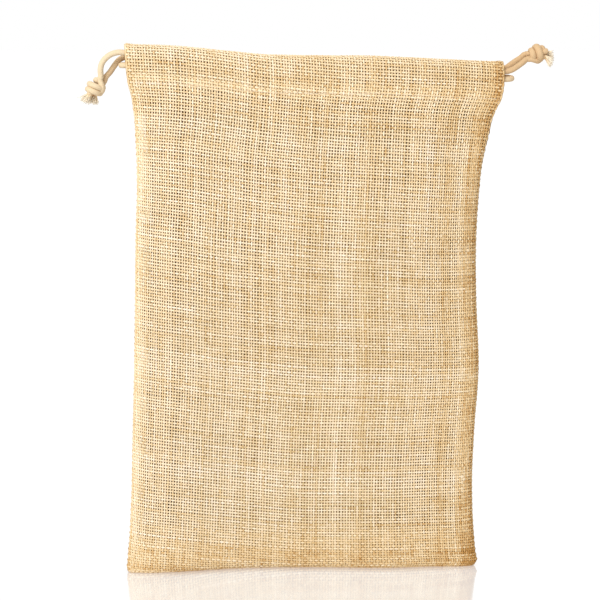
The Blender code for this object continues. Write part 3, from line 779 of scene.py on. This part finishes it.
def closeness(q, u):
    """How closed the cloth looks, from 0 to 1: most at the foot, beside the seams and along the
    hem, where layers of cloth lie on each other."""
    foot = 1 - ease(q, *FOOT_CLOSES)
    sides = np.maximum(ease(u, *RIGHT_CLOSES), ease(-u, *LEFT_CLOSES))
    face_length = HEIGHT - CASING_DEPTH - FOOT_CURVE_HEIGHT
    above_hem = (q - 2) * np.where(q > 2, CASING_DEPTH - FOLD_RADIUS, face_length)
    hem = bell(above_hem, *HEM_CLOSES)
    return np.maximum.reduce([foot, sides, hem, CASING_CLOSES * (q > 2)])


def build_face(face, word, seed):
    """Weaves one face and its casing, with one piece of warp and one of weft yarns for each."""
    rng, middle, outward, inside, q, u = weave_face(face, seed)
    wefts, warps = inside.shape
    over = 1 - 2 * ((np.arange(wefts)[:, None] + np.arange(warps)[None, :]) % 2)
    closed = closeness(q, u)
    near_rim = ease(middle[..., 2], SLIT_BOTTOM - SLIT_FADES, SLIT_BOTTOM)
    in_slit = ease(np.abs(u), *CASING_ENDS) * near_rim
    # Painted shade at the foot, along the drawstrings, by the right seam and over the right half;
    # the groups' drift below is the cloth's own uneven tone
    cloth_tone = (
        -FOOT_DARKER * (1 - ease(q, *FOOT_CLOSES))
        - CORDS_DARKER * (bell(q, *CORDS_AT) * (q > 2))
        - SEAM_DARKER * ease(u, *RIGHT_CLOSES)
        - RIGHT_DARKER * ease(u, *RIGHT_HALF)
    )
    groups = drift(rng, 1, warps, WARPS_ALIKE) + drift(rng, 1, wefts, WEFTS_ALIKE).T
    cloth_tone = cloth_tone + CLOTH_DRIFT * groups
    seam_row = int(np.argmax(q[:, warps // 2] > 2))
    for kind, width in zip(("warp", "weft"), YARN_WIDTHS[face]):
        is_warp = kind == "warp"
        shape = (warps, wefts) if is_warp else (wefts, warps)
        centres = middle + outward * ((1 if is_warp else -1) * WAVE * over)[..., None]
        centres[..., 2] = np.maximum(centres[..., 2], YARN_THICKNESS / 2)
        uneven = np.clip(spun(rng, 1, WIDTH_NOISE, shape, WIDTH_REACH), *WIDTH_LIMITS)
        tone = spun(rng, YARN_TONE, TONE_NOISE, shape, TONE_REACH)
        arrays = [centres, outward, inside, cloth_tone, closed, in_slit]
        if is_warp:
            arrays = [np.swapaxes(a, 0, 1) for a in arrays]
        centres, out, kept, extra, close, at_end = arrays
        kept = with_neighbours(kept)
        mark_tone, mark_swell = marks_on(kind, centres) if face == FRONT else (0.0, 0.0)
        uneven = (uneven + mark_swell) * (1 + CLOSER * close)
        tone = tone + mark_tone + extra
        # Painted shade of the inner sides: dark, and paler where the cloth looks closed and in the
        # slits
        inner_shade_tone = INNER_SHADE_TONE + INNER_LIFT * close
        inner_shade_tone = inner_shade_tone + (CASING_END_TONE - inner_shade_tone) * at_end
        # The two parts of a warp yarn share the crossing at which they meet
        body_rows = slice(0, seam_row + 1 if is_warp else seam_row)
        for part, rows in (("", body_rows), ("casing_", slice(seam_row, None))):
            cut = (slice(None), rows) if is_warp else (rows, slice(None))
            obj = tubes(
                f"{word}_{part}{kind}", centres[cut], out[cut], uneven[cut] * width / 2,
                uneven[cut] ** 0.5 * YARN_THICKNESS / 2, np.clip(tone[cut], 0, 1), kept[cut],
                EDGE_SHADE[face], inner_shade_tone[cut],
            )
            yarns, rings = kept[cut].shape
            length = rings * (WEFT_PITCH if is_warp else GRAIN_PITCH)
            finish = jute_yarn(f"jute_{word}_{part}{kind}", yarns, length)
            nodes = ("sack_cloth",) if obj.name == "front_warp" else ()
            dress(obj, finish, "jute_cloth", *nodes)


def build_hairs(face, word, seed):
    """Loose fibres: each is a short tube that leaves the cloth, lifts, curls and comes down."""
    rng = np.random.default_rng(seed)
    u = rng.uniform(-HAIRS_ACROSS, HAIRS_ACROSS, HAIRS)
    q = np.interp(rng.uniform(HAIRS_FROM, STRIP * HAIRS_UP_TO, HAIRS), STRIP_LENGTHS, STRIP_Q)
    spot = cloth_skin(face, u, q)
    right = unit(cloth_skin(face, np.clip(u + SKIN_STEP, -1, 1), q) - spot)
    up = unit(cloth_skin(face, u, q + 2 * SKIN_STEP) - spot)
    outward = unit(np.cross(right, up)) * -face
    angle = rng.uniform(0, 2 * np.pi, HAIRS)
    way = np.cos(angle)[:, None] * right + np.sin(angle)[:, None] * up
    side = np.cos(angle)[:, None] * up - np.sin(angle)[:, None] * right
    ranges = (HAIR_LENGTHS, HAIR_LIFTS, HAIR_CURLS)
    length, lift, curl = (rng.uniform(*least_most, (HAIRS, 1, 1)) for least_most in ranges)
    s = np.linspace(0, 1, len(HAIR_TAPER))[None, :, None]
    centres = (
        spot[:, None]
        + way[:, None] * s * length
        + side[:, None] * s * s * (curl * length)
        + outward[:, None] * (lift * np.sin(np.pi * s * HAIR_ARCH))
    )
    centres[..., 2] = np.maximum(centres[..., 2], HAIR)
    out = np.broadcast_to(outward[:, None], centres.shape)
    half = np.broadcast_to(HAIR / 2 * np.array(HAIR_TAPER), centres.shape[:2])
    tone = np.broadcast_to(rng.uniform(*HAIR_TONES, HAIRS)[:, None], centres.shape[:2])
    obj = tubes(f"{word}_loose_fibres", centres, out, half, half, tone)
    dress(obj, jute_yarn(f"jute_{word}_fibres", HAIRS, length=0.005), "jute_cloth")


def build_seams():
    """The turned-in edges that are sewn together inside each side, from the foot to the slit."""
    lines = []
    for edge in (LEFT, RIGHT):
        q = np.linspace(0.0, 2.0, 80)
        skin = cloth_skin(FRONT, np.full_like(q, edge), q)
        skin = skin[skin[:, 2] < SLIT_BOTTOM + SEAM_PAST_SLIT]
        skin[:, 0] -= edge * SEAM_INSET
        skin[:, 2] = np.maximum(skin[:, 2], SEAM / 2)
        lines.append(smooth_line(with_radius(skin, SEAM / 2), SEAM_STEP))
    obj = round_tubes("side_seams", lines, 8, SEAM_TONES)
    dress(obj, jute_yarn("jute_side_seams", 2, HEIGHT), "jute_cloth")


def build_stitches(face, word):
    """Lock stitches of the hem: a thread on each side of the two layers, on the skin for most of
    each stitch and drawn into the cloth between stitches."""
    above_edge = STITCH_HEIGHT / (CASING_DEPTH - FOLD_RADIUS)
    lines = []
    for q, out in ((2 + above_edge, face), (5 - above_edge, -face)):
        u = np.linspace(-STITCHES_ACROSS, STITCHES_ACROSS, 2000)
        along_row = along_line(cloth_skin(face, u, np.full_like(u, q)))
        places = np.arange(0.0, along_row[-1], STITCH / STITCH_RINGS)
        u = np.interp(places, along_row, u)
        skin = cloth_skin(face, u, np.full_like(u, q))
        phase = (places / STITCH) % 1
        dip = STITCH_DIP * bell(np.minimum(phase, 1 - phase), 0.0, DIP_SPREAD)
        skin[:, 1] += out * (STITCH_STANDS - dip)
        lines.append(with_radius(skin, THREAD / 2))
    obj = round_tubes(f"{word}_hem_stitches", lines, 6, [[THREAD_TONE]] * 2)
    dress(obj, cotton_cord(f"sewing_thread_{word}", 2, length=0.26), "cotton_cord")


def level_change(face, x):
    """From 0 to 1 across a crossing, timed so that the two cords are level where they pass."""
    apart_left, apart_right = np.subtract(LEVELS[RIGHT][face], LEVELS[LEFT][face])
    share = apart_left / (apart_left - apart_right)
    middle = -face * CROSSING_X - 2 * CROSSING_RUN * (share - 0.5) / SMOOTH_SLOPE
    return ease(x, middle - CROSSING_RUN, middle + CROSSING_RUN)


def cord_in_casing(side, face, x):
    """Centre line of one drawstring inside one casing, at the given X places."""
    left_level, right_level = LEVELS[side][face]
    changed = level_change(face, x)
    below_rim = (left_level + (right_level - left_level) * changed) * MM
    left, right = rim_corner(LEFT), rim_corner(RIGHT)
    u = np.clip(2 * (x - left) / (right - left) - 1, -1, 1)
    depth = mouth_half_gap(u) + CLOTH + CHANNEL / 2
    if side == RIGHT:
        depth = depth - CROSSING_DEPTH * bell(x, -face * CROSSING_X, CROSSING_SPREAD)
    return np.stack([x, face * depth, HEIGHT + rim_rise(u) - below_rim], -1)


def knot_frame(middle, axis):
    """A middle, an axis of unit length, and two unit vectors square to it: forward and across."""
    axis = np.array(axis) / np.linalg.norm(axis)
    forward = np.array([0.0, -1.0, 0.0])
    return np.array(middle) * MM, axis, forward, np.cross(axis, forward)


def knot_entry(side, face):
    """The last two points of a tail's centre line, which meets the knot's near end squarely."""
    middle, axis, half_length, entry = KNOTS[side]
    middle, axis, forward, across = knot_frame(middle, axis)
    near_end = middle - axis * (half_length * MM + SEAT)
    beside = -face * (CORD / 2 + SEAT / 2)
    end = near_end + forward * beside + across * entry[face] * MM
    return np.array([end - axis * BEND_STEP, end])


def drawstring_route(side):
    """From the knot through the front casing, round the far side and back through the other."""
    far = rim_corner(-side)
    inside = np.linspace(rim_corner(side) - side * CORD_OVERLAP, far, 30)
    front, back = (cord_in_casing(side, face, inside) for face in (FRONT, BACK))
    turn = np.radians(np.linspace(-LOOP_TURN, LOOP_TURN, 9))
    loop = np.stack(
        [
            far - side * LOOP_REACH[-side] * np.cos(turn) ** LOOP_BLUNTNESS,
            front[-1, 1] * -np.sin(turn),
            np.linspace(front[-1, 2], back[-1, 2], len(turn)),
        ],
        -1,
    )
    tail_front, tail_back = (
        np.vstack([np.array(TAILS[side][face]) * MM, knot_entry(side, face)])
        for face in (FRONT, BACK)
    )
    return np.concatenate([tail_front[::-1], front, loop, back[::-1], tail_back])


def build_knot(side, word):
    """The wraps of the knot: a tube along a helix whose pitch and radius follow its table, the
    other strands that show, and a core that the wraps close round."""
    middle, axis, rows = WRAPS[side]
    middle, axis, forward, across = knot_frame(middle, axis)
    turns, along, turn_radius, cord_radius = np.array(rows).T
    t = np.linspace(turns[0], turns[-1], 90)
    rise, reach, thick = (through(t, turns, row) * MM for row in (along, turn_radius, cord_radius))
    angle = (2 * np.pi * t)[:, None]
    out = np.cos(angle) * forward + np.sin(angle) * across
    helix = middle + reach[:, None] * out + rise[:, None] * axis
    lines = [smooth_line(np.column_stack([helix, thick]), KNOT_STEP)]
    for strand in STRANDS[side]:
        lines.append(smooth_line(with_radius(np.array(strand) * MM, CORD / 2), KNOT_STEP))
    # A dark core: painted shade in the gaps between the wraps
    start, end = (middle + axis * reach * MM for reach in CORES[side])
    core = np.linspace(0, 1, 6)[:, None] * (end - start) + start
    lines.append(with_radius(core, CORE_RADIUS * MM))
    line_tones = [[KNOT_TONES[side]]] * (len(lines) - 1) + [[CORE_SHADE_TONE]]
    obj = round_tubes(f"{word}_knot_wraps", lines, KNOT_SIDES, line_tones)
    finish = cotton_cord(f"cotton_knot_{word}", 4, length=0.05)
    return dress(obj, finish, "cotton_cord", f"knot_{word}")


def build_frayed_end(end, seed):
    """The last of the cord, and its yarns combed out into fibres that splay, curl and taper."""
    side, length, (further, sideways, nearer), way = TUFTS[end]
    middle, axis, half_length, _ = KNOTS[side]
    middle, axis, forward, across = knot_frame(middle, axis)
    start = middle + axis * (half_length * MM + SEAT)
    start = start + (axis * further + across * sideways + forward * nearer) * MM
    rng = np.random.default_rng(seed)
    way = unit(np.array(way))
    collar = [start - axis * COLLAR_BACK, start, start + axis * COLLAR_ON + way * COLLAR_ASIDE]
    lines = [np.column_stack([np.array(collar), COLLAR_RADII])]
    stub = round_tubes(f"cord_end_{end}", lines, CORD_SIDES, [[KNOT_TONES[side]]])
    finish = cotton_cord(f"cotton_end_{end}", 1, length=0.004)
    dress(stub, finish, "cotton_cord", f"frayed_end_{end}")

    golden = np.pi * (3 - np.sqrt(5))  # the turn that spreads points evenly over a disc
    k = np.arange(TUFT_FIBRES)
    spread = np.sqrt((k + 0.5) / TUFT_FIBRES)
    out = forward * np.cos(k * golden)[:, None] + across * np.sin(k * golden)[:, None]
    root = start + axis * ROOT_ON + out * (spread * ROOT_RADIUS)[:, None]
    lean = axis * ALONG_AXIS + way + out * (spread * SPLAY)[:, None]
    lean = unit(lean + rng.normal(0, LEAN_NOISE, (TUFT_FIBRES, 3)))
    lengths = (length * MM) * rng.uniform(*FIBRE_LENGTHS, TUFT_FIBRES)
    bend = rng.normal(0, BEND_NOISE, (TUFT_FIBRES, 3))
    s = np.linspace(0, 1, len(FIBRE_TAPER))
    centres = root[:, None] + lean[:, None] * (s[None, :, None] * lengths[:, None, None])
    centres = centres + bend[:, None] * (s * s)[None, :, None]
    phase = rng.uniform(0, CRIMP_PHASES, (TUFT_FIBRES, 1, 3))
    crimp = CRIMP * np.sin((s * CRIMP_WAVES)[None, :, None] + phase)
    centres = centres + crimp * s[None, :, None]
    out = np.broadcast_to(out[:, None], centres.shape)
    half = FIBRE / 2 * np.array(FIBRE_TAPER) * rng.uniform(*FIBRE_VARIES, (TUFT_FIBRES, 1))
    # Painted shade: each fibre is darker towards its root, where the fibres crowd
    tone = rng.uniform(*FIBRE_TONES, (TUFT_FIBRES, 1)) * (ROOT_TONE + TIP_GAIN * s**GAIN_POWER)
    fibres = tubes(f"frayed_fibres_{end}", centres, out, half, half, tone)
    finish = combed_cotton(f"combed_cotton_{end}", TUFT_FIBRES, length=0.006)
    dress(fibres, finish, "cotton_cord")
    return [stub.name, fibres.name]


def build_drawstring(side, word):
    """A round tube along the drawstring's route, whose length is the cord's."""
    line = smooth_line(with_radius(drawstring_route(side), CORD / 2), CORD_STEP)
    obj = round_tubes(f"{word}_drawstring", [line], CORD_SIDES, [CORD_TONES[side]])
    length = float(along_line(line[:, :3])[-1])
    dress(obj, cotton_cord(f"cotton_cord_{word}", 1, length), "cotton_cord", f"drawstring_{word}")


def place(obj, where, way):
    """Puts the camera or a light in its place and turns it to look along a way."""
    obj.location = where
    obj.rotation_mode = "QUATERNION"
    obj.rotation_quaternion = way.to_track_quat("-Z", "Y")
    bpy.context.scene.collection.objects.link(obj)


def build_camera():
    """The photograph's view: from 1 m in front, a little above the rim and left of the middle."""
    yaw, pitch = np.radians(CAMERA_YAW), np.radians(CAMERA_PITCH)
    camera = bpy.data.cameras.new("camera")
    camera.sensor_width = 36.0
    camera.lens = 85.54
    obj = bpy.data.objects.new("camera", camera)
    x, y = CAMERA_SHIFT - CAMERA_DISTANCE * np.sin(yaw), -CAMERA_DISTANCE * np.cos(yaw)
    look = Vector((np.sin(yaw) * np.cos(pitch), np.cos(yaw) * np.cos(pitch), -np.sin(pitch)))
    place(obj, (x, y, CAMERA_HEIGHT), look)
    bpy.context.scene.camera = obj


def area_light(name, where, size, energy):
    light = bpy.data.lights.new(name, "AREA")
    light.size = size
    light.energy = energy
    obj = bpy.data.objects.new(name, light)
    obj.visible_glossy = False
    place(obj, where, Vector((0, 0, LIT_HEIGHT)) - Vector(where))


def build_studio():
    """A white sweep: white to the camera and in reflections, but dimmer as a light, so that one
    large soft light from the upper left gives the weave its shadows."""
    scene = bpy.context.scene
    scene.view_settings.view_transform = "Standard"
    # The denoiser reads the cloth's colours unsmoothed, or it blurs holes that are a pixel wide
    scene.cycles.denoising_prefilter = "NONE"
    world = bpy.data.worlds.new("studio")
    world.use_nodes = True
    tree = world.node_tree
    background = tree.nodes["Background"]
    background.inputs["Color"].default_value = (1.0, 1.0, 1.0, 1.0)
    path = add_node(tree, "ShaderNodeLightPath")
    dim = add_node(
        tree, "ShaderNodeMapRange", links={"Value": path.outputs["Is Diffuse Ray"]},
        values={"To Min": 1.0, "To Max": 0.50},
    )
    tree.links.new(dim.outputs["Result"], background.inputs["Strength"])
    scene.world = world
    area_light("key", (-1.4, -2.2, 2.0), size=1.5, energy=92.0)
    area_light("back_fill", (1.2, 2.4, 1.6), size=1.8, energy=72.0)

    mesh = bpy.data.meshes.new("floor")
    half = 30.0
    corners = [(-half, -half, 0), (half, -half, 0), (half, half, 0), (-half, half, 0)]
    mesh.from_pydata(corners, [], [(0, 1, 2, 3)])
    floor = bpy.data.objects.new("floor", mesh)
    scene.collection.objects.link(floor)
    made, tree = new_material("white_acrylic_table")
    tree.nodes.clear()
    # Painted contact shadow: ambient occlusion darkens the floor's glow beside the sack
    contact = add_node(tree, "ShaderNodeAmbientOcclusion", values={"Distance": 0.008})
    shadow = colour_ramp(tree, contact.outputs["AO"], [(0.0, "#dcc6b2"), (1.0, "#ffffff")])
    glow = add_node(tree, "ShaderNodeEmission", links={"Color": shadow}, values={"Strength": 1.42})
    gloss = add_node(tree, "ShaderNodeBsdfGlossy", values={"Roughness": 0.13})
    glossy_share = 0.574
    mixed = add_node(tree, "ShaderNodeMixShader", values={0: glossy_share})
    tree.links.new(glow.outputs[0], mixed.inputs[1])
    tree.links.new(gloss.outputs[0], mixed.inputs[2])
    add_node(tree, "ShaderNodeOutputMaterial", links={"Surface": mixed.outputs[0]})
    mesh.materials.append(made)


build_camera()
build_studio()
for side, word in ((LEFT, "left"), (RIGHT, "right")):
    pieces = [build_knot(side, word).name]
    pieces += build_frayed_end(f"{word}_front", 40 + side)
    pieces += build_frayed_end(f"{word}_back", 50 + side)
    build_drawstring(side, word)
for face, word, seed in ((FRONT, "front", 11), (BACK, "back", 23)):
    build_face(face, word, seed)
    build_hairs(face, word, seed + 1)
    build_stitches(face, word)
build_seams()
